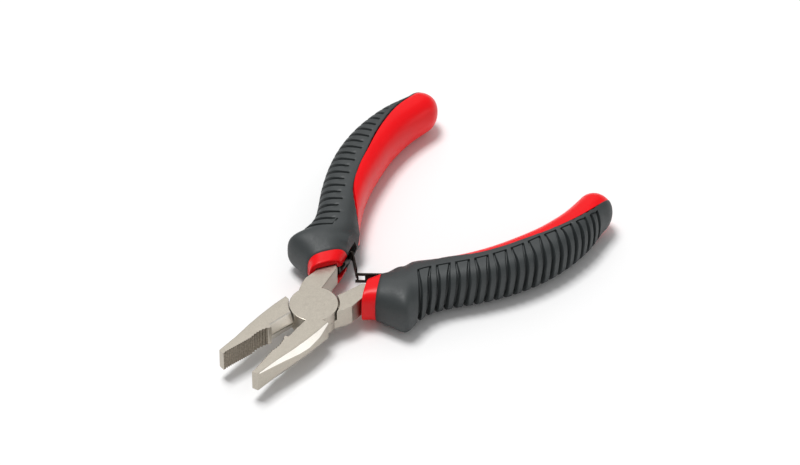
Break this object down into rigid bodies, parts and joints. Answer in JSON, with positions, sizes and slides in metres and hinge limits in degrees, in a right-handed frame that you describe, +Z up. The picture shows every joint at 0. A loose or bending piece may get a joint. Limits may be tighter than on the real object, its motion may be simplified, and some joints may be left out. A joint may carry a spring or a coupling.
{
  "type": "combination pliers",
  "caption": "Small combination pliers with flat serrated jaws, pipe grip and cutter, a flush lap joint, leaf return springs and ribbed two-part grips.",
  "frame": {"origin": "on the pivot axis, at the head's lower flat face", "axes": "+X from the pivot towards the handles, midway between them, +Y towards the upper half's handle, +Z up through the head's thickness along the pivot axis"},
  "size_m": [0.1221, 0.082, 0.0145],
  "materials": {
    "forged_steel": "satin nickel plated forging, ground bright on the cutter bevels",
    "spring_steel": "black oxide",
    "red_plastic": "smooth moulded polypropylene",
    "grey_rubber": "matte moulded thermoplastic rubber with cross ribs"
  },
  "bodies": {
    "upper_lever": {"upper_half": "forged_steel", "pivot_rivet": "forged_steel", "leaf_spring_tongue": "spring_steel", "upper_spring_rivet": "spring_steel", "upper_grip_core": "red_plastic", "upper_grip_overmould": "grey_rubber"},
    "lower_lever": {"lower_half": "forged_steel", "leaf_spring_fork": "spring_steel", "lower_spring_rivet": "spring_steel", "lower_grip_core": "red_plastic", "lower_grip_overmould": "grey_rubber"}
  },
  "joints": [
    {"name": "jaw_pivot", "type": "hinge", "parent": "upper_lever", "child": "lower_lever", "pos_m": [0, 0, 0.00325], "axis": [0, 0, -1], "range_deg": [-19, 8], "stiffness_Nm_per_rad": 0.9, "deforming": ["leaf_spring_tongue", "leaf_spring_fork"]}
  ]
}
